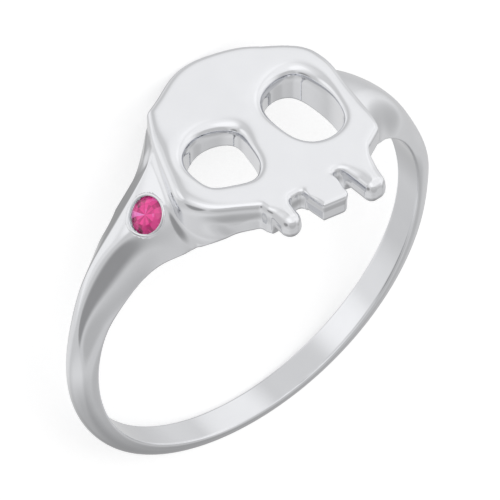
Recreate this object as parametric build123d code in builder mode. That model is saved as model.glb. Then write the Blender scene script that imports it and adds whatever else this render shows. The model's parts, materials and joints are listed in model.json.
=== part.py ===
"""A cast skull ring with one small round stone set flush in its left shoulder.

The ring is drawn standing: the finger goes along Y, the head is at +Z and the skull's teeth point to -Y.
At the end it is laid on its side, as such a ring rests by itself, with its lowest point at Z = 0.
"""
from math import atan2, cos, degrees, radians, sin, sqrt, tan
import os

from build123d import *

# Finger hole and shank
finger_diameter = 17.3
shank_width = 1.5
shank_height = 0.92
shank_side = 0.38
shoulder_start = 102.0

# Skull plate: half its width, how far it reaches from the ring's middle plane, and its thickness
skull_half_width = 4.8
cranium_reach = 4.27
jaw_reach = 6.0
plate_thickness = 1.21
rim_radius = 0.22

# The two outer teeth are round bars, thinner than the plate: their thickness, where they start along
# the finger as a share of jaw_reach, and the rounding of their underside
tooth_thickness = 1.0
tooth_start = 0.7
tooth_rounding = 0.3

# Stone, a round brilliant: where it sits on the left shoulder, and its cut
stone_angle = 35.0
stone_lean = 10.0
stone_height = 1.2
stone_diameter = 1.7
girdle_height = 0.05
table_share = 0.56
crown_slope = 34.0
star_slope = 20.0
upper_slope = 39.0
pavilion_slope = 40.0
lower_slope = 41.5
seat_gap = 0.04

finger_radius = finger_diameter / 2
face_height = finger_radius + plate_thickness
half_shank = shank_width / 2
stone_radius = stone_diameter / 2
crown_height = stone_radius * (1 - table_share) * tan(radians(crown_slope))
pavilion_depth = stone_radius * tan(radians(pavilion_slope))

# Shoulders, from the shank towards the head. Columns: the angle from the head in degrees, then four
# half-widths as shares of half the shank's width (front at the bore, front at the crest, back at the
# crest, back at the bore), then the crest's and the crown's height as shares of the shank's height.
left_shoulder = [
    (90, 1.00, 0.96, 0.98, 1.02, 0.46, 1.08),
    (78, 1.06, 0.90, 1.04, 1.12, 0.56, 1.15),
    (65, 1.30, 0.80, 1.18, 1.36, 0.76, 1.20),
    (52, 1.74, 0.78, 1.34, 1.62, 0.94, 1.24),
    (42, 2.32, 0.98, 1.50, 1.94, 1.08, 1.28),
    (33, 3.04, 1.44, 1.78, 2.34, 1.18, 1.33),
    (25, 3.70, 1.90, 2.30, 2.90, 1.26, 1.40),
    (17, 4.40, 2.40, 2.90, 3.40, 1.30, 1.44),
]
right_shoulder = [
    (90, 1.03, 0.98, 0.98, 1.02, 0.46, 1.04),
    (78, 1.18, 0.96, 1.04, 1.12, 0.56, 1.10),
    (65, 1.50, 0.96, 1.18, 1.36, 0.76, 1.16),
    (52, 1.98, 1.02, 1.34, 1.62, 0.94, 1.22),
    (42, 2.56, 1.14, 1.50, 1.94, 1.08, 1.28),
    (33, 3.30, 1.50, 1.78, 2.34, 1.18, 1.33),
    (25, 3.90, 1.90, 2.30, 2.90, 1.26, 1.40),
    (17, 4.50, 2.40, 2.90, 3.40, 1.30, 1.44),
]

# Skull outline. Every point is a share of skull_half_width across, and of cranium_reach (above the
# middle plane) or jaw_reach (below it) along the finger.
cranium = [(-0.602, 0.749), (-0.423, 0.841), (-0.175, 0.958), (0.04, 1.0), (0.26, 0.941), (0.502, 0.806), (0.623, 0.707)]
right_temple = [(0.623, 0.707), (0.808, 0.602), (0.942, 0.426), (0.994, 0.178), (0.985, -0.068), (0.935, -0.385), (0.885, -0.533)]
left_temple = [(-0.5, -0.632), (-0.694, -0.533), (-0.906, -0.412), (-1.01, -0.237), (-0.952, -0.044), (-0.865, 0.199), (-0.727, 0.543), (-0.602, 0.749)]

# Jaw, from the right cheek to the left one: across, along, and the corner's radius in millimetres
jaw = [
    (0.885, -0.533, 0.0),
    (0.865, -0.572, 0.18),
    (0.640, -0.667, 0.15),
    (0.570, -1.000, 0.50),
    (0.322, -1.000, 0.50),
    (0.322, -0.700, 0.25),
    (0.202, -0.700, 0.25),
    (0.183, -0.935, 0.22),
    (-0.077, -0.898, 0.08),
    (-0.127, -0.693, 0.34),
    (-0.281, -0.693, 0.34),
    (-0.285, -0.906, 0.42),
    (-0.479, -0.906, 0.45),
    (-0.479, -0.690, 0.20),
    (-0.500, -0.632, 0.0),
]

# Eye holes, in the same shares
left_eye = [(-0.767, -0.16), (-0.729, -0.278), (-0.556, -0.368), (-0.327, -0.412), (-0.204, -0.338)]
left_eye += [(-0.128, -0.14), (-0.125, 0.07), (-0.252, 0.195), (-0.463, 0.24), (-0.675, 0.115)]
right_eye = [(0.175, -0.1), (0.196, -0.26), (0.304, -0.39), (0.481, -0.436), (0.694, -0.376)]
right_eye += [(0.79, -0.22), (0.792, 0.09), (0.704, 0.31), (0.479, 0.345), (0.25, 0.195)]

# Facets of the stone. Columns: how many, their slope, the radius and height that they pass through as
# shares of the stone's radius and crown height (from the girdle), and their turn in steps.
crown_facets = [
    (8, crown_slope, 1.0, 0.0, 0.0),
    (8, star_slope, table_share * cos(radians(22.5)), 1.0, 0.5),
    (16, upper_slope, 1.0, 0.0, 0.5),
]
pavilion_facets = [(8, pavilion_slope, 0.0), (16, lower_slope, 0.5)]


def on_plate(across, along):
    """A point of the skull in millimetres, from its shares."""
    reach = cranium_reach if along > 0 else jaw_reach
    return (across * skull_half_width, along * reach)


def radial_plane(angle):
    """The plane through the finger's axis at this angle from the head: X along the finger, Y outwards."""
    return Plane(origin=(0, 0, 0), x_dir=(0, 1, 0), z_dir=(cos(radians(angle)), 0, -sin(radians(angle))))


def hoop_sides(front_bore, front_crest, back_crest, back_bore, crest):
    """Corners of one section of the hoop, with its two sides carried on inside the bore, to be cut there."""
    cut_depth = shank_side
    below = cut_depth / (crest * shank_height)
    front_root = front_bore + (front_bore - front_crest) * below
    back_root = back_bore + (back_bore - back_crest) * below
    over_crest = finger_radius + crest * shank_height
    return [
        (-front_crest * half_shank, over_crest),
        (-front_root * half_shank, finger_radius - cut_depth),
        (back_root * half_shank, finger_radius - cut_depth),
        (back_crest * half_shank, over_crest),
    ]


def facet_plane(slope, radius, height, azimuth):
    """The plane of one facet: it leans outwards by its slope and passes through that radius and height."""
    outwards = (sin(radians(slope)) * cos(azimuth), sin(radians(slope)) * sin(azimuth), cos(radians(slope)))
    return Plane(origin=(radius * cos(azimuth), radius * sin(azimuth), height), z_dir=outwards)


# The ring: the plain lower part of the shank first
plain_section = (shoulder_start, 1.0, 1.0, 1.0, 1.0, shank_side / shank_height, 1.0)

with BuildPart() as ring_body:
    with BuildSketch(radial_plane(shoulder_start)):
        with BuildLine():
            corners = hoop_sides(*plain_section[1:6])
            Polyline(*corners)
            ThreePointArc(corners[-1], (0, finger_radius + shank_height), corners[0])
        make_face()
    revolve(axis=Axis.Y, revolution_arc=360 - 2 * shoulder_start)

    # Two shoulders, which widen and flatten from the shank into the head
    for side, rows in ((-1, left_shoulder), (1, right_shoulder)):
        for angle, *widths, crest, crown in [plain_section] + rows:
            with BuildSketch(radial_plane(side * angle)):
                with BuildLine():
                    corners = hoop_sides(*widths, crest)
                    middle = (corners[0][0] + corners[-1][0]) / 2
                    Polyline(*corners)
                    ThreePointArc(corners[-1], (middle, finger_radius + crown * shank_height), corners[0])
                make_face()
        loft()

    # The skull plate, whose underside is the finger hole
    with BuildSketch(Plane.XY.offset(face_height)):
        with BuildLine():
            Spline(*[on_plate(*point) for point in cranium])
            Spline(*[on_plate(*point) for point in right_temple])
            FilletPolyline(*[on_plate(*row[:2]) for row in jaw], radius=[row[2] for row in jaw[1:-1]])
            Spline(*[on_plate(*point) for point in left_temple])
        make_face()
    extrude(amount=-(face_height - sqrt(finger_radius**2 - skull_half_width**2)) - plate_thickness)

    # Eye holes, cut through
    with BuildSketch(Plane.XY.offset(face_height)):
        for eye in (left_eye, right_eye):
            with BuildLine():
                Spline(*[on_plate(*point) for point in eye], periodic=True)
            make_face()
    extrude(amount=-face_height, mode=Mode.SUBTRACT)

    # The finger hole
    with BuildSketch(Plane.XZ):
        Circle(finger_radius)
    extrude(amount=2 * jaw_reach, both=True, mode=Mode.SUBTRACT)

    # Rounded rims, and thinner outer teeth with a rounded underside
    face = ring_body.faces().filter_by(Axis.Z).sort_by(Axis.Z)[-1]
    fillet(face.edges(), rim_radius)
    for left_end, right_end in ((-0.6, -0.2), (0.25, 0.7)):
        with BuildSketch(Plane.XY.offset(face_height - tooth_thickness)):
            with BuildLine():
                Polyline(
                    on_plate(left_end, -1.1),
                    on_plate(right_end, -1.1),
                    on_plate(right_end, -tooth_start),
                    on_plate(left_end, -tooth_start),
                    close=True,
                )
            make_face()
        extrude(amount=-face_height, mode=Mode.SUBTRACT)
    undersides = ring_body.faces().filter_by(Axis.Z).sort_by(Axis.Z)[:2]
    tips = undersides.edges().filter_by_position(Axis.Y, -jaw_reach - 1, -tooth_start * jaw_reach - 0.01)
    fillet(tips, tooth_rounding)

    # The stone's seat in the left shoulder: straight down to the girdle, then a cone for the pavilion
    seat_direction = radians(-stone_angle - stone_lean)
    seat_reach = finger_radius + stone_height
    seat = Plane(
        origin=(-seat_reach * sin(radians(stone_angle)), 0, seat_reach * cos(radians(stone_angle))),
        x_dir=(0, 1, 0),
        z_dir=(sin(seat_direction), 0, cos(seat_direction)),
    )
    with Locations(seat.offset(-crown_height - girdle_height)):
        Cylinder(
            stone_radius + seat_gap,
            2 * crown_height,
            align=(Align.CENTER, Align.CENTER, Align.MIN),
            mode=Mode.SUBTRACT,
        )
        cone_depth = pavilion_depth + 2 * seat_gap
        with Locations((0, 0, -cone_depth)):
            Cone(
                0,
                stone_radius + seat_gap,
                cone_depth,
                align=(Align.CENTER, Align.CENTER, Align.MIN),
                mode=Mode.SUBTRACT,
            )

# The stone, cut from a short rod: its table is at Z = 0, and every facet takes one slice off
with BuildPart() as stone:
    with Locations((0, 0, -crown_height - girdle_height - pavilion_depth)):
        Cylinder(
            stone_radius,
            crown_height + girdle_height + pavilion_depth,
            align=(Align.CENTER, Align.CENTER, Align.MIN),
        )
    for count, slope, radius, height, turn in crown_facets:
        for k in range(count):
            azimuth = radians((k + turn) * 360 / count)
            level = (height - 1) * crown_height
            split(bisect_by=facet_plane(slope, radius * stone_radius, level, azimuth), keep=Keep.BOTTOM)
    for count, slope, turn in pavilion_facets:
        for k in range(count):
            azimuth = radians((k + turn) * 360 / count)
            level = -crown_height - girdle_height
            split(bisect_by=facet_plane(180 - slope, stone_radius, level, azimuth), keep=Keep.BOTTOM)

# Both pieces are laid down: the cranium's edge and the far side of the shank touch the ground
rest_tilt = degrees(atan2(cranium_reach - half_shank, 2 * finger_radius + shank_side))
on_side = Location((0, 0, 0), (90 - rest_tilt, 0, 180))
box = ring_body.part.moved(on_side).bounding_box()
to_ground = Location((-box.center().X, -box.center().Y, -box.min.Z))
ring = ring_body.part.moved(to_ground * on_side)
gem = stone.part.moved(to_ground * on_side * seat.location)

os.makedirs("parts", exist_ok=True)
for solid, name in ((ring, "ring_body"), (gem, "stone")):
    solid.label = name
    export_step(solid, f"parts/{name}.step")
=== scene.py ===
"""A cast skull ring, lying on its side as it rests by itself, seen from in front and above."""
import json

import bpy
import numpy as np
from mathutils import Matrix


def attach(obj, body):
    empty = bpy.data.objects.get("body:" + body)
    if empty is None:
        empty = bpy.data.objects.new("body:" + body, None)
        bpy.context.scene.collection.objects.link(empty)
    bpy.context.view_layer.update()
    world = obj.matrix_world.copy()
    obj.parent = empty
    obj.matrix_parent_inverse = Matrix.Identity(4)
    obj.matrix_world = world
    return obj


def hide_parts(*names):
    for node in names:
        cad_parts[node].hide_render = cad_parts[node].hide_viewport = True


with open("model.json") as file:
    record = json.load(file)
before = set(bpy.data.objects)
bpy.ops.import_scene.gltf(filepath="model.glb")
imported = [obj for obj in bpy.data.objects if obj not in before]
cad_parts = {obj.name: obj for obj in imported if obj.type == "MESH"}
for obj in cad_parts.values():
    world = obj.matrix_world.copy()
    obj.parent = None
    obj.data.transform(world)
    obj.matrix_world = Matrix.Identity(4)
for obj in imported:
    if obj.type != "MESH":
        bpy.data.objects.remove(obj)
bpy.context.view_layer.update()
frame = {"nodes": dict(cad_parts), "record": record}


# The casting: shank, shoulders, skull plate and teeth in one piece of polished silver. It is worked out
# standing, in millimetres, with the finger along Y, the head at +Z and the teeth at -Y, as it is carved
# in wax before casting, and laid on its side at the end by the finger hole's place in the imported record.
finger_radius = 8.65
face_height = 9.86
bore_rounding = 0.12

# Columns: the angle from the head in degrees, then in millimetres the front edge at the finger hole, the
# front and the back edge of the crown, the back edge at the finger hole, the height of the crown's edges,
# the height of the crown, and how far its front and its back edge are rounded.
hoop_rows = np.array([
    (-180, 0.80, 0.72, 0.74, 0.80, 0.35, 0.90, 0.35, 0.22),
    (-130, 0.80, 0.72, 0.74, 0.80, 0.37, 0.91, 0.38, 0.22),
    (-104, 0.81, 0.74, 0.74, 0.82, 0.44, 1.01, 0.28, 0.20),
    (-90, 0.74, 0.81, 0.78, 0.90, 0.48, 1.09, 0.38, 0.14),
    (-78, 0.76, 0.75, 0.84, 1.05, 0.59, 1.13, 0.40, 0.08),
    (-65, 1.11, 0.54, 0.92, 1.44, 0.85, 1.10, 0.75, 0.06),
    (-52, 1.47, 0.55, 0.96, 1.79, 0.96, 1.13, 0.89, 0.06),
    (-42, 1.87, 0.77, 1.02, 2.04, 1.00, 1.21, 0.48, 0.06),
    (-33, 2.38, 1.14, 1.18, 2.27, 1.14, 1.28, 0.50, 0.06),
    (-25, 2.88, 1.60, 1.56, 2.60, 1.32, 1.44, 0.50, 0.06),
    (-17, 3.28, 2.10, 2.20, 2.90, 1.40, 1.50, 0.50, 0.10),
    (0, 3.30, 1.90, 2.30, 2.70, 0.80, 0.95, 0.50, 0.10),
    (17, 3.38, 1.88, 2.23, 2.64, 1.10, 1.22, 0.50, 0.10),
    (25, 3.03, 1.52, 1.90, 2.30, 1.24, 1.36, 0.49, 0.10),
    (33, 2.55, 1.22, 1.55, 1.85, 1.25, 1.41, 0.52, 0.10),
    (42, 1.99, 0.91, 1.30, 1.52, 1.16, 1.36, 0.56, 0.10),
    (52, 1.58, 0.84, 1.10, 1.28, 0.98, 1.21, 0.57, 0.10),
    (65, 1.19, 0.83, 0.91, 1.04, 0.61, 0.99, 0.49, 0.10),
    (78, 0.90, 0.83, 0.81, 0.88, 0.46, 0.97, 0.36, 0.12),
    (90, 0.88, 0.72, 0.76, 0.82, 0.44, 0.97, 0.32, 0.16),
    (104, 0.81, 0.69, 0.74, 0.80, 0.41, 0.98, 0.30, 0.20),
    (130, 0.80, 0.70, 0.74, 0.80, 0.40, 0.97, 0.18, 0.22),
    (180, 0.80, 0.72, 0.74, 0.80, 0.35, 0.90, 0.35, 0.22),
])

# The skull seen from above its face: its edge in four runs, and the two eyes.
cranium = [
    (-2.89, 3.20), (-2.03, 3.59), (-0.86, 4.15), (0.19, 4.29), (1.30, 4.08), (2.50, 3.60), (3.09, 3.18),
]
right_temple = [
    (3.09, 3.18), (3.97, 2.64), (4.68, 1.94), (4.93, 0.83), (4.75, -0.41), (4.49, -2.31), (4.25, -3.20),
]
chin = [(4.25, -3.20), (4.12, -3.46), (3.30, -3.90), (2.90, -4.17), (-2.28, -4.17), (-2.40, -3.79)]
chin_roundings = [0.30, 0.30, 0.10, 0.12]
left_temple = [
    (-2.40, -3.79), (-3.33, -3.20), (-4.35, -2.47), (-4.85, -1.42),
    (-4.57, -0.26), (-4.15, 0.85), (-3.49, 2.32), (-2.89, 3.20),
]
left_eye = [
    (-3.68, -0.96), (-3.50, -1.67), (-2.67, -2.21), (-1.57, -2.47), (-0.98, -2.03),
    (-0.61, -0.84), (-0.60, 0.30), (-1.21, 0.83), (-2.22, 1.02), (-3.24, 0.49),
]
right_eye = [
    (0.84, -0.60), (0.94, -1.56), (1.46, -2.34), (2.31, -2.62), (3.33, -2.26),
    (3.79, -1.32), (3.80, 0.38), (3.38, 1.32), (2.30, 1.47), (1.20, 0.83),
]

# The teeth in the same view. The left one is a bar with round ends. The other two lie between two sides and
# end inside the jaw, at their root. Columns of a side: where it crosses a level, that level, and how far it
# leans to the right for each millimetre upwards. A side's length is also for each millimetre upwards.
left_tooth_ends = [(-1.82, -3.70), (-1.80, -4.96)]
left_tooth_half_widths = (0.52, 0.51)
middle_tooth_sides = [(-0.38, -5.42, -0.17), (0.88, -5.61, 0.10)]
middle_tooth_side_lengths = (1.014, 1.005)
middle_tooth_tip, middle_tooth_slant, middle_tooth_root = -5.50, 0.16, -3.6
middle_tooth_roundings = (0.06, 0.30)
right_tooth_sides = [(1.62, -5.60, -0.10), (2.76, -5.60, 0.20)]
right_tooth_tip, right_tooth_root, right_tooth_rounding = -6.02, -3.4, 0.42
notch_rounding = 0.20

# The plate: its thickness where it stands free and what is added where it goes down into the hoop, how far
# the skull's edge stands outside of its line and how much more at the cranium's top, how far under the face
# the hoop stays, and how far inside of their lines the eyes are cut before their edges are bent.
plate_thickness, thickness_over_hoop = 1.22, 2.0
edge_margin, top_margin = 0.05, 0.07
hoop_under_face = 0.45
eye_inset = 0.12

# The stone's seat in the left shoulder: the middle of the stone's table, the way that it faces, and the
# straight hole with the cone under it.
seat_distance, seat_angle, seat_lean = 9.85, np.radians(35), np.radians(45)
seat_middle = np.array([-seat_distance * np.sin(seat_angle), 0.0, seat_distance * np.cos(seat_angle)])
seat_axis = np.array([-np.sin(seat_lean), 0.0, np.cos(seat_lean)])
seat_across = np.array([0.0, 1.0, 0.0])
seat_up = np.cross(seat_axis, seat_across)
seat_radius, seat_straight, seat_rounding = 0.91, 0.36, 0.03
cone_slope, cone_cosine = 1.18, 0.647


def natural_spline(knots, values, at, closed=False):
    """Cubic curve through values at knots. Its second derivatives solve the usual three-term equations,
    and are zero at open ends; a closed curve has the same slope and bend at both ends."""
    knots, values = np.asarray(knots, float), np.asarray(values, float)
    n, step = len(knots), np.diff(knots)
    slope = np.diff(values, axis=0) / step[:, None]
    matrix, right = np.eye(n), np.zeros((n, values.shape[1]))
    inner = np.arange(1, n - 1)
    matrix[inner, inner - 1] = step[:-1]
    matrix[inner, inner] = 2 * (step[:-1] + step[1:])
    matrix[inner, inner + 1] = step[1:]
    right[inner] = 6 * (slope[1:] - slope[:-1])
    if closed:
        matrix[0, [0, 1, n - 2, n - 1]] = 2 * step[0], step[0], step[-1], 2 * step[-1]
        right[0] = 6 * (slope[0] - slope[-1])
        matrix[-1, [0, n - 1]] = 1, -1
    bend = np.linalg.solve(matrix, right)
    i = np.clip(np.searchsorted(knots, at) - 1, 0, n - 2)
    a = ((knots[i + 1] - at) / step[i])[:, None]
    b = 1 - a
    bow = (a**3 - a) * bend[i] + (b**3 - b) * bend[i + 1]
    return a * values[i] + b * values[i + 1] + bow * (step[i] ** 2)[:, None] / 6


def curve_through(points, count, closed=False):
    """Smooth plane curve through points, its parameter the distance walked from point to point."""
    points = np.asarray(points, float)
    if closed:
        points = np.vstack([points, points[:1]])
    walked = np.concatenate([[0], np.cumsum(np.linalg.norm(np.diff(points, axis=0), axis=1))])
    return natural_spline(walked, points, np.linspace(0, walked[-1], count), closed)


def rounded_corners(points, radii, steps=8):
    """Straight runs between points, each inner corner replaced by an arc of its radius: the arc's centre
    lies on the corner's bisector, at the radius over the sine of half the angle."""
    points = np.asarray(points, float)
    out = [points[:1]]
    for before, corner, after, radius in zip(points[:-2], points[1:-1], points[2:], radii):
        u = (before - corner) / np.linalg.norm(before - corner)
        v = (after - corner) / np.linalg.norm(after - corner)
        half = np.arccos(u @ v) / 2
        centre = corner + (u + v) / np.linalg.norm(u + v) * radius / np.sin(half)
        start = corner + u * radius / np.tan(half) - centre
        end = corner + v * radius / np.tan(half) - centre
        turn = np.arctan2(start[0] * end[1] - start[1] * end[0], start @ end)
        t = np.linspace(0, turn, steps)[:, None]
        out.append(centre + start * np.cos(t) + np.array([-start[1], start[0]]) * np.sin(t))
    return np.vstack(out + [points[-1:]])


plan_step = 0.04
plan_x, plan_y = np.arange(-6.4, 6.4, plan_step), np.arange(-6.9, 5.4, plan_step)


def plan_of(loop):
    """Distance from each point of the plan's grid to a closed line, negative inside it: the least distance
    to any of its runs, and its sign from how often a ray to one side crosses them. A light blur takes the
    facets of the sampled line away."""
    best = np.full((len(plan_x), len(plan_y)), 1e9)
    inside = np.zeros(best.shape, bool)
    px, py = plan_x[:, None], plan_y[None, :]
    for (x0, y0), (x1, y1) in zip(loop, np.roll(loop, -1, axis=0)):
        dx, dy = x1 - x0, y1 - y0
        t = np.clip(((px - x0) * dx + (py - y0) * dy) / max(dx * dx + dy * dy, 1e-12), 0, 1)
        best = np.minimum(best, (px - x0 - t * dx) ** 2 + (py - y0 - t * dy) ** 2)
        inside ^= ((y0 > py) != (y1 > py)) & (px < dx * (py - y0) / (dy if dy else 1) + x0)
    plan = np.where(inside, -1, 1) * np.sqrt(best)
    for axis in (0, 1):
        plan = (np.roll(plan, 1, axis) + 2 * plan + np.roll(plan, -1, axis)) / 4
    return plan


def look_up(plan, x, y):
    """Smooth reading of a plan between its points, with the four weights of a cubic B-spline each way, and
    kept a cell away from the plan's border."""
    u = np.clip((x - plan_x[0]) / plan_step, 1.001, len(plan_x) - 3.001)
    v = np.clip((y - plan_y[0]) / plan_step, 1.001, len(plan_y) - 3.001)
    i, j = u.astype(int), v.astype(int)
    along, across = [
        ((1 - t) ** 3 / 6, (3 * t**3 - 6 * t**2 + 4) / 6, (-3 * t**3 + 3 * t**2 + 3 * t + 1) / 6, t**3 / 6)
        for t in (u - i, v - j)
    ]
    return sum(along[a] * sum(across[b] * plan[i + a - 1, j + b - 1] for b in range(4)) for a in range(4))


def meet(a, b, radius):
    """Intersection of two solids given by their distances, its edge rounded to the radius: the larger of
    the two, or near the edge the length of both taken from the arc's centre."""
    corner = np.hypot(np.maximum(a + radius, 0), np.maximum(b + radius, 0))
    return np.minimum(np.maximum(a, b), -radius) + corner


def join(a, b, radius):
    """Union of two solids, the corner between them filled to the radius."""
    return -meet(-a, -b, radius)


def soft_edge(a, b, width):
    """Intersection whose edge bends more and more towards its middle, as a polished pillow does: the larger
    distance, plus the cube of how near the two are, over the width of the bent zone."""
    near = np.maximum(width - np.abs(a - b), 0) / width
    return np.maximum(a, b) + near**3 * width / 6


skull_plan = plan_of(np.vstack([
    curve_through(cranium, count=90)[:-1],
    curve_through(right_temple, count=110)[:-1],
    rounded_corners(chin, chin_roundings)[:-1],
    curve_through(left_temple, count=130)[:-1],
]))
left_eye_plan, right_eye_plan = [
    plan_of(curve_through(eye, count=161, closed=True)[:-1]) for eye in (left_eye, right_eye)
]
eyes_plan = join(left_eye_plan, right_eye_plan, radius=0.8)

hoop_steps_a_degree = 4
hoop_steps = 360 * hoop_steps_a_degree
hoop_angles = np.linspace(-180, 180, hoop_steps + 1)
hoop_table = natural_spline(hoop_rows[:, 0], hoop_rows[:, 1:], hoop_angles, closed=True)


def hoop(angle, y, r):
    """One section at each angle: two straight sides, from the finger hole's edges to the crown's edges, and
    a round crown, the arc through its two edges and its top. Their corners are rounded."""
    u = (angle + 180) * hoop_steps_a_degree
    i = np.clip(u.astype(int), 0, hoop_steps - 1)
    share = (u - i)[..., None]
    rows = np.moveaxis(hoop_table[i] * (1 - share) + hoop_table[i + 1] * share, -1, 0)
    front_bore, front_edge, back_edge, back_bore, edge, top, front_rounding, back_rounding = rows
    height = r - finger_radius
    front_run, back_run = front_bore - front_edge, back_bore - back_edge
    front = (-(y + front_bore) * edge + height * front_run) / np.hypot(edge, front_run)
    back = ((y - back_bore) * edge + height * back_run) / np.hypot(edge, back_run)
    rise = top - edge
    radius = (((front_edge + back_edge) / 2) ** 2 + rise**2) / (2 * rise)
    crown = np.hypot(y - (back_edge - front_edge) / 2, height - top + radius) - radius
    return meet(meet(crown, front, front_rounding), back, back_rounding)


def ease(low, high, value):
    """Rises smoothly from 0 at low to 1 at high, or falls where low is the larger of the two."""
    t = np.clip((value - low) / (high - low), 0, 1)
    return t * t * (3 - 2 * t)


def bar(x, y, start, end, half_widths):
    """Plan of a bar: the distance to a line less a half-width, which changes along it."""
    (x0, y0), (x1, y1) = start, end
    dx, dy = x1 - x0, y1 - y0
    t = np.clip(((x - x0) * dx + (y - y0) * dy) / (dx**2 + dy**2), 0, 1)
    away = np.hypot(x - x0 - t * dx, y - y0 - t * dy)
    return away - half_widths[0] - t * (half_widths[1] - half_widths[0])


def right_of(side, x, y):
    """How far a point lies to the right of a tooth's side, measured straight across."""
    crossing, level, lean = side
    return x - crossing - (y - level) * lean


def with_teeth(skull, x, y):
    """The skull's plan with its teeth. A tooth is what lies between its two sides and above its tip, with
    rounded corners. The notches between the teeth and the jaw are filled to a small radius."""
    left_tooth = bar(x, y, *left_tooth_ends, left_tooth_half_widths)
    left_side, right_side = [right_of(side, x, y) for side in right_tooth_sides]
    right_tooth = meet(np.maximum(right_side, -left_side), right_tooth_tip - y, right_tooth_rounding)
    right_tooth = np.maximum(right_tooth, y - right_tooth_root)
    outer_teeth = np.minimum(left_tooth, right_tooth)
    left_side, right_side = [
        right_of(side, x, y) / length for side, length in zip(middle_tooth_sides, middle_tooth_side_lengths)
    ]
    slanted_tip = middle_tooth_tip - y - middle_tooth_slant * x
    middle_tooth = meet(-left_side, slanted_tip, middle_tooth_roundings[0])
    middle_tooth = meet(middle_tooth, right_side, middle_tooth_roundings[1])
    middle_tooth = np.maximum(middle_tooth, y - middle_tooth_root)
    return join(join(skull, outer_teeth, notch_rounding), middle_tooth, notch_rounding)


def skull_plate(x, y, below):
    """The plate with its teeth, cut out along their plan, from the face down. The face's edge bends over a
    width that changes from zone to zone, each zone a share from 0 to 1, and the back edge is rounded. The
    teeth's flanks lean in a little, and the jaw's wall has a slight hollow under its edge, which ends lower
    at the left. The teeth and the jaw's right corner stand free; the rest goes down into the hoop."""
    skull = look_up(skull_plan, x, y) - edge_margin - top_margin * ease(2.4, 3.4, y)
    on_sides = ease(-3.2, -1.6, y) * ease(2.8, 1.2, y)
    on_jaw = ease(0.3, 0.0, skull) * ease(-2.2, -3.0, y) * ease(2.6, 1.8, x)
    on_teeth = ease(0.0, 0.3, skull) * ease(-3.0, -3.6, y)
    on_tips = ease(0.0, 0.9, skull) * ease(-3.0, -3.6, y)
    on_middle_tooth = ease(-4.1, -4.6, y) * ease(0.95, 0.7, np.abs(x - 0.25))
    flank = 0.10 * (np.minimum(below, 0.50) - 0.3)
    lower_at_left = 0.6 * np.exp(-(((x + 3.3) / 0.55) ** 2))
    hollow = 0.08 * ease(0.4, 1.1, below) - 0.11 * ease(0.6, 1.7, below - lower_at_left)
    wall = with_teeth(skull, x, y) + on_teeth * flank + on_jaw * hollow
    face_bend = 0.50 + 0.40 * on_sides + 0.12 * on_teeth + 0.33 * on_tips - 0.66 * on_middle_tooth
    back_rounding = 0.42 + 0.12 * on_teeth - 0.24 * on_middle_tooth
    over_hoop = np.maximum(ease(0.30, -0.05, skull) * ease(2.9, 2.4, x), ease(-2.6, -2.1, y))
    thickness = plate_thickness + thickness_over_hoop * over_hoop
    return meet(soft_edge(wall, -below, face_bend), below - thickness, back_rounding)


def uncut_casting(x, y, z):
    """The casting before the seat is drilled, below zero inside the metal: the hoop, kept a little under
    the face, and the plate, joined by a fillet that is wider under the jaw and low behind the cranium. Then
    the eyes and the finger hole are cut, each with a rounded edge."""
    r = np.hypot(x, z)
    angle = np.degrees(np.arctan2(x, z))
    below = face_height - z
    under_jaw = ease(-1.8, -2.8, y) * ease(-3.4, -2.2, x) * ease(2.0, 1.0, x)
    behind_cranium = ease(1.0, 2.2, y) * ease(0.5, 1.3, below)
    fillet = 0.24 + 0.36 * under_jaw + 0.70 * behind_cranium
    band = np.maximum(hoop(angle, y, r), hoop_under_face - below)
    metal = join(band, skull_plate(x, y, below), fillet)
    deep_in_metal = -5
    eyes = np.where(z > 0, -look_up(eyes_plan, x, y) - eye_inset, deep_in_metal)
    eye_bend = 0.50 + 0.45 * ease(-1.4, 0.5, y)
    metal = soft_edge(metal, eyes, eye_bend)
    by_left_tooth = ease(-52, -22, angle) * ease(4, -4, angle) * ease(-0.4, -1.2, y)
    return meet(metal, finger_radius - r, bore_rounding + 0.08 * by_left_tooth)


def casting(x, y, z):
    """The casting with the stone's seat, a short straight hole with a cone under it along the seat's
    axis."""
    dx, dy, dz = x - seat_middle[0], y - seat_middle[1], z - seat_middle[2]
    height = dx * seat_axis[0] + dz * seat_axis[2]
    out = np.sqrt(np.maximum(dx**2 + dy**2 + dz**2 - height**2, 0)) - seat_radius
    cone = (out - (height + seat_straight) * cone_slope) * cone_cosine
    return meet(uncut_casting(x, y, z), -np.maximum(out, cone), seat_rounding)


def slope_of(shape, points, step=2e-3):
    """Gradient of a shape at points, by differences to both sides."""
    out = np.empty_like(points)
    for axis, shift in enumerate(np.eye(3) * step):
        out[:, axis] = (shape(*(points + shift).T) - shape(*(points - shift).T)) / (2 * step)
    return out


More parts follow.
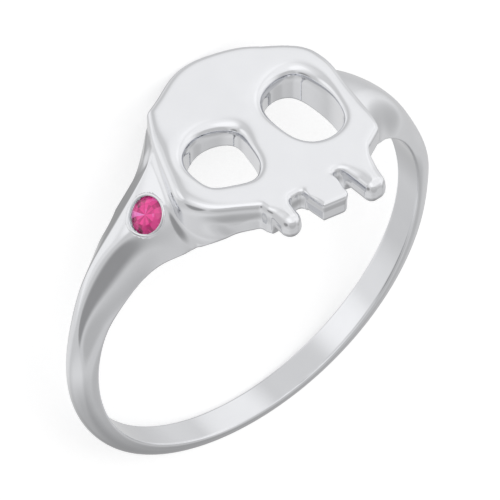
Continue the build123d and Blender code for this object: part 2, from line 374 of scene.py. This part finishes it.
def skin_of(shape, angles, ys, rs, pulls=5, reach=0.06):
    """Closed skin of a shape on a grid in angle, length and radius round the finger. Each cell that the
    surface passes through holds one point, first at the mean of its edges' crossings, then pulled onto the
    surface along the gradient. The four cells round each crossed edge give one face."""
    a, y, r = np.meshgrid(np.radians(angles), ys, rs, indexing="ij")
    value = shape(r * np.sin(a), y, r * np.cos(a))
    solid = value < 0
    turns, lengths, radii = value.shape
    corners = sum(
        np.roll(solid, -da, 0)[:, dy:lengths - 1 + dy, dr:radii - 1 + dr].astype(int)
        for da in (0, 1) for dy in (0, 1) for dr in (0, 1)
    )
    mixed = (corners > 0) & (corners < 8)
    number = np.full(mixed.shape, -1)
    number[mixed] = np.arange(mixed.sum())
    cell = np.stack(np.nonzero(mixed), 1)
    total, weight = np.zeros((len(cell), 3)), np.zeros(len(cell))
    for axis in range(3):
        for p in (0, 1):
            for q in (0, 1):
                low = np.insert([p, q], axis, 0)
                i, j, k = (cell + low).T
                v0 = value[i % turns, j, k]
                i, j, k = (cell + low + np.eye(3, dtype=int)[axis]).T
                v1 = value[i % turns, j, k]
                crossed = (v0 < 0) != (v1 < 0)
                share = np.where(crossed, v0 / np.where(crossed, v0 - v1, 1), 0)
                total += (low + np.eye(3)[axis] * share[:, None]) * crossed[:, None]
                weight += crossed
    place = total / weight[:, None]
    widths = np.append(np.diff(angles), angles[0] + 360 - angles[-1])
    angle = np.radians(angles[cell[:, 0]] + place[:, 0] * widths[cell[:, 0]])
    length = ys[cell[:, 1]] + place[:, 1] * (ys[1] - ys[0])
    radius = rs[cell[:, 2]] + place[:, 2] * (rs[1] - rs[0])
    points = np.stack([radius * np.sin(angle), length, radius * np.cos(angle)], 1)
    for _ in range(pulls):
        slope = slope_of(shape, points)
        steepness = np.maximum((slope**2).sum(1), 0.2)
        pull = np.clip(shape(*points.T) / steepness, -reach, reach)
        points -= pull[:, None] * slope
    faces = []
    for axis in range(3):
        ahead = np.roll(solid, -1, axis)
        crossed = solid != ahead
        crossed[:, [0, -1]] = False
        crossed[:, :, [0, -1]] = False
        at = np.stack(np.nonzero(crossed), 1)
        one, two = np.roll(np.eye(3, dtype=int), -1 - axis, axis=0)[:2]
        ring = [at - one - two, at - two, at, at - one]
        quad = np.stack([number[c[:, 0] % turns, c[:, 1], c[:, 2]] for c in ring], 1)
        faces.append(np.where(solid[tuple(at.T)][:, None], quad, quad[:, ::-1]))
    slope = slope_of(shape, points)
    return points, np.vstack(faces), slope / np.linalg.norm(slope, axis=1)[:, None]


# Where the standing ring goes: the finger hole's middle and axis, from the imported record.
millimetre = 0.001
bore = frame["record"]["mounts"][0]
teeth_way = np.array(bore["axis"]) / np.linalg.norm(bore["axis"])
head_way = np.cross(teeth_way, [-1.0, 0.0, 0.0])
lay_down = np.stack([[-1.0, 0.0, 0.0], -teeth_way, head_way], axis=1)


def laid(points):
    """Millimetres on the standing ring to metres on the one that lies down."""
    return points @ lay_down.T * millimetre + np.array(bore["pos_m"])


def make_piece(name, points, faces, normals=None):
    """A mesh object in metres from laid points and faces, with smooth normals where they are given."""
    mesh = bpy.data.meshes.new(name)
    mesh.from_pydata(points.tolist(), [], faces.tolist())
    mesh.polygons.foreach_set("use_smooth", [True] * len(mesh.polygons))
    if normals is not None:
        mesh.normals_split_custom_set_from_vertices(normals.tolist())
    piece = bpy.data.objects.new(name, mesh)
    bpy.context.scene.collection.objects.link(piece)
    return piece


# The head's grid is finer round the ring than the shank's. Angles are in degrees from the head.
head_end, head_step, shank_step, grid_step = 56.0, 0.38, 1.4, 0.07
head_angles = np.arange(-head_end, head_end, head_step)
shank_angles = np.arange(head_end, 360.0 - head_end, shank_step)
lengths = np.arange(-6.3, 4.6, grid_step)
radii = np.arange(8.45, 11.2, grid_step)
points, faces, normals = skin_of(casting, np.concatenate([head_angles, shank_angles]), lengths, radii)
ring_casting = make_piece("ring_casting", laid(points), faces, normals @ lay_down.T)


class Link:
    """One output of a node, for sums in a material: each operator adds the Math node that works it out."""

    def __init__(self, tree, socket):
        self.tree, self.socket = tree, socket

    def work(self, operation, *values):
        """The Math node of an operation on links and numbers."""
        return add_node(self.tree, "Math", {"operation": operation}, *values)

    def __add__(self, other):
        return self.work("ADD", self, other)

    def __radd__(self, other):
        return self.work("ADD", other, self)

    def __sub__(self, other):
        return self.work("SUBTRACT", self, other)

    def __rsub__(self, other):
        return self.work("SUBTRACT", other, self)

    def __mul__(self, other):
        return self.work("MULTIPLY", self, other)

    def __rmul__(self, other):
        return self.work("MULTIPLY", other, self)

    def __pow__(self, other):
        return self.work("POWER", self, other)

    def __rpow__(self, other):
        return self.work("POWER", other, self)


def add_node(tree, kind, settings, *values, output=0, **named):
    """A node of a kind: its settings are made first, then the values or links of its sockets, which are
    given by place or by name."""
    node = tree.nodes.new("ShaderNode" + kind)
    for key, value in settings.items():
        if key == "stops":
            while len(node.color_ramp.elements) < len(value):
                node.color_ramp.elements.new(0.5)
            for stop, (place, colour) in zip(node.color_ramp.elements, value):
                stop.position, stop.color = place, colour
        elif key == "interpolation":
            node.color_ramp.interpolation = value
        else:
            setattr(node, key, value)
    sockets = list(enumerate(values)) + [(key.replace("_", " "), value) for key, value in named.items()]
    for key, value in sockets:
        if isinstance(value, Link):
            tree.links.new(value.socket, node.inputs[key])
        else:
            node.inputs[key].default_value = value
    return Link(tree, node.outputs[output])


def new_material(name):
    """An empty material of that name, and its node tree."""
    material = bpy.data.materials.new(name)
    material.use_nodes = True
    material.node_tree.nodes.clear()
    return material, material.node_tree


def put_on(piece, material, tree, finish):
    """Makes the finish the material's surface, and gives the material to the piece."""
    tree.links.new(finish.socket, tree.nodes.new("ShaderNodeOutputMaterial").inputs[0])
    piece.data.materials.clear()
    piece.data.materials.append(material)


# Its finish: polished silver, with faint waves from the polishing wheel and fine marks from handling.
polished_silver, tree = new_material("polished_silver")
place = add_node(tree, "TexCoord", {}, output="Object")
handling = add_node(tree, "TexNoise", {}, Vector=place, Scale=900.0, Detail=3.0, Roughness=0.6)
polish = add_node(tree, "TexNoise", {}, Vector=place, Scale=260.0, Detail=2.0, Roughness=0.5)
silver_stops = [(0.3, (0.825, 0.832, 0.855, 1)), (0.7, (0.845, 0.852, 0.875, 1))]
tone = add_node(tree, "ValToRGB", {"stops": silver_stops}, handling)
waves = add_node(tree, "Bump", {}, Strength=0.04, Distance=0.00002, Height=polish)
shine = add_node(
    tree, "BsdfPrincipled", {}, Base_Color=tone, Metallic=1.0,
    Roughness=0.06 + 0.03 * handling, Normal=waves
)
put_on(ring_casting, polished_silver, tree, shine)
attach(ring_casting, "root")
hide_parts("ring_body")


# The bright-cut collar: a thin bead of the same silver, pushed over the stone's edge with a graver and
# burnished. It leans on the stone's crown and follows the shoulder's surface round the seat. Columns: the
# distance from the seat's axis, the share of the shoulder's height, and the height added to it.
collar_rows = [
    (0.841, 0.0, -0.160), (0.872, 0.5, -0.060), (0.902, 1.0, 0.018), (0.928, 1.0, 0.018),
    (0.952, 1.0, -0.030), (0.945, 1.0, -0.120), (0.905, 0.3, -0.280), (0.872, 0.0, -0.230),
]
collar_turns, collar_steps = 128, 24
collar_reach = 0.95


def on_seat(out, turn, height):
    """A point by its distance from the seat's axis, its angle round it, and its height along it."""
    flat = np.cos(turn)[..., None] * seat_across + np.sin(turn)[..., None] * seat_up
    return seat_middle + out[..., None] * flat + height[..., None] * seat_axis


def surface_height(out, turn, lowest=-0.75, highest=0.6, halvings=26):
    """Height of the shoulder's surface over a point of the seat's plan, by halving the range that it lies
    in."""
    low, high = np.full(out.shape, lowest), np.full(out.shape, highest)
    for _ in range(halvings):
        middle = (low + high) / 2
        inside = uncut_casting(*np.moveaxis(on_seat(out, turn, middle), -1, 0)) < 0
        low, high = np.where(inside, middle, low), np.where(inside, high, middle)
    return (low + high) / 2


collar_section = curve_through(collar_rows, collar_steps + 1, closed=True)[:-1]
i, j = np.meshgrid(np.arange(collar_turns), np.arange(collar_steps), indexing="ij")
turn = i * (2 * np.pi / collar_turns)
out, share, added = np.moveaxis(collar_section[j], -1, 0)
shoulder = surface_height(np.full(turn.shape, collar_reach), turn)
collar_points = on_seat(out, turn, shoulder * share + added).reshape(-1, 3)
i2, j2 = (i + 1) % collar_turns, (j + 1) % collar_steps
collar_faces = np.stack([at * collar_steps + to for at, to in ((i, j), (i, j2), (i2, j2), (i2, j))], -1)
seat_collar = make_piece("seat_collar", laid(collar_points), collar_faces.reshape(-1, 4))
seat_collar.data.materials.append(polished_silver)
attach(seat_collar, "root")


# The stone: a round brilliant of deep pink, 1.7 mm across, held under the collar. Its solid comes cut,
# facet by facet, and stays, and here it gets its colour: deep pink with painted reflections, light and dark
# wedges under the table that stand in for the light the pavilion sends back, and a faint painted glow. It
# is left out of the metal's reflections.
stone_radius = 0.85
stone = frame["nodes"]["stone"]
pink_stone, tree = new_material("pink_stone")
place = add_node(tree, "TexCoord", {}, output="Object")
stone_middle = tuple(laid(seat_middle[None, :])[0])
from_middle = add_node(tree, "VectorMath", {"operation": "SUBTRACT"}, place, stone_middle)


def along(way):
    """How far the point lies along a direction from the stone's middle, in stone radii."""
    scaled = tuple(lay_down @ way / (stone_radius * millimetre))
    return add_node(tree, "VectorMath", {"operation": "DOT_PRODUCT"}, from_middle, scaled, output="Value")


# The painted reflections' wedges are a little off the middle. Rows: under the table, then outside of its
# edge, each a turn in 16 painted shades.
u, v = along(seat_across) + 0.04, along(seat_up) + 0.02
far = (u * u + v * v) ** 0.5
turn_share = add_node(tree, "Math", {"operation": "ARCTAN2"}, v, u) * (0.5 / np.pi) + 0.5
painted_facet_rows = [
    (0.66, 0.74, 0.40, 0.62, 0.34, 0.72, 0.46, 0.60, 0.30, 0.95, 0.60, 0.20, 0.56, 0.36, 0.58, 0.28),
    (0.50, 0.40, 0.60, 0.34, 0.62, 0.50, 0.30, 0.10, 0.46, 0.88, 0.08, 0.40, 0.14, 0.34, 0.24, 0.46),
]
inner, outer = [
    add_node(tree, "ValToRGB", {
        "stops": [(k / len(row), (grey, grey, grey, 1)) for k, grey in enumerate(row)],
        "interpolation": "CONSTANT",
    }, turn_share)
    for row in painted_facet_rows
]
table_edge_from, table_edge_to = 0.50, 0.56
outside = add_node(tree, "MapRange", {}, far, table_edge_from, table_edge_to, 0.0, 1.0)
cells = add_node(tree, "TexVoronoi", {}, Vector=place, Scale=4200.0, output="Color")
cell_value = add_node(tree, "SeparateColor", {}, cells)
# Painted shade and painted reflection of the facets: the wedges, broken up by small cells.
painted_facet_shade = (inner * (1.0 - outside) + outer * outside) * 0.80 + cell_value * 0.26 - 0.04
pink_stops = [
    (0.12, (0.16, 0.004, 0.05, 1)),
    (0.34, (0.46, 0.010, 0.15, 1)),
    (0.62, (0.72, 0.03, 0.25, 1)),
    (0.85, (0.66, 0.17, 0.48, 1)),
]
# The stone's pink, made lighter and darker by the painted facet shade.
colour = add_node(tree, "ValToRGB", {"stops": pink_stops}, painted_facet_shade)
# The stone glows faintly in its own colour: a painted glow for the light that a cut stone sends back from
# inside.
gem = add_node(
    tree, "BsdfPrincipled", {}, Base_Color=colour, Metallic=0.0, Roughness=0.03 + 0.02 * far, IOR=1.76,
    Emission_Color=colour, Emission_Strength=0.25
)
put_on(stone, pink_stone, tree, gem)
stone.visible_glossy = False


# The floor: a plain pale board that the ring lies on. The metal doesn't mirror it.
board_half = 0.6
board_corners = [(x * board_half, y * board_half, 0) for x, y in ((-1, -1), (1, -1), (1, 1), (-1, 1))]
floor_mesh = bpy.data.meshes.new("floor")
floor_mesh.from_pydata(board_corners, [], [(0, 1, 2, 3)])
floor = bpy.data.objects.new("floor", floor_mesh)
bpy.context.scene.collection.objects.link(floor)
pale_board, tree = new_material("pale_board")
matt = add_node(
    tree, "BsdfPrincipled", {}, Base_Color=(0.90, 0.90, 0.90, 1), Roughness=0.9, Specular_IOR_Level=0.1,
    Emission_Color=(1.0, 1.0, 1.0, 1), Emission_Strength=0.45
)
put_on(floor, pale_board, tree, matt)
floor.visible_glossy = False


# The light: a white tent that goes all round the ring, its panels brighter and greyer, so that the polished
# metal has something soft to mirror on every side, also from below, as on a glass table. Columns: azimuth
# from the front towards the stone's side, elevation, angle of the full patch, angle where it ends, and its
# strength.
tent_base = 0.65
tent_patches = [
    (1, 38, 45, 79, 0.09),
    (-4, 26, 24, 46, 0.25),
    (89, 11, 12, 26, -0.33),
    (177, -8, 6, 44, -0.31),
    (-112, 27, 4, 29, -0.26),
    (24, 17, 20, 34, 0.14),
    (-82, 14, 19, 53, 0.32),
    (122, 77, 30, 45, -0.14),
    (-110, 2, 3, 18, -0.33),
    (-37, -16, 7, 26, 0.30),
    (108, -83, 33, 47, 0.14),
    (40, -28, 6, 20, 0.20),
    (149, -4, 18, 38, 0.12),
    (49, -51, 28, 42, 0.19),
    (-140, -69, 4, 23, -0.44),
    (-152, 13, 2, 16, -0.10),
]
world = bpy.data.worlds.new("tent")
bpy.context.scene.world = world
world.use_nodes = True
tree = world.node_tree
tree.nodes.clear()
way = add_node(tree, "TexCoord", {}, output="Generated")
smooth = {"interpolation_type": "SMOOTHSTEP"}
bright = tent_base
for azimuth_deg, elevation_deg, full_deg, end_deg, strength in tent_patches:
    azimuth, elevation, full, end = np.radians([azimuth_deg, elevation_deg, full_deg, end_deg])
    flat = np.cos(elevation)
    centre = (np.sin(azimuth) * flat, -np.cos(azimuth) * flat, np.sin(elevation))
    near = add_node(tree, "VectorMath", {"operation": "DOT_PRODUCT"}, way, centre, output="Value")
    patch = add_node(tree, "MapRange", smooth, near, float(np.cos(end)), float(np.cos(full)), 0.0, strength)
    bright = patch + bright
background = add_node(tree, "Background", {}, (1.0, 1.0, 1.0, 1.0), bright)
tree.links.new(background.socket, tree.nodes.new("ShaderNodeOutputWorld").inputs[0])


# The camera: the photograph's own angle to the ring, from far away with a long lens. Its directions and its
# place are given on the standing ring, in millimetres, and are laid down with it.
camera_right = np.array([0.78663, -0.61742, 0.0])
camera_down = np.array([-0.46996, -0.59876, -0.64855])
camera_ahead = np.array([0.40043, 0.51017, -0.76117])
camera_place = np.array([-154.02, -196.19, 294.43])
camera_data = bpy.data.cameras.new("camera")
camera_data.sensor_width = 36.0
camera_data.lens = 648.0
camera_data.clip_start = 0.01
camera_data.clip_end = 10.0
camera = bpy.data.objects.new("camera", camera_data)
bpy.context.scene.collection.objects.link(camera)
view = np.eye(4)
view[:3, :3] = lay_down @ np.stack([camera_right, -camera_down, -camera_ahead], axis=1)
view[:3, 3] = laid(camera_place[None, :])[0]
camera.matrix_world = Matrix(view.tolist())
bpy.context.scene.camera = camera
bpy.context.scene.view_settings.view_transform = "Standard"
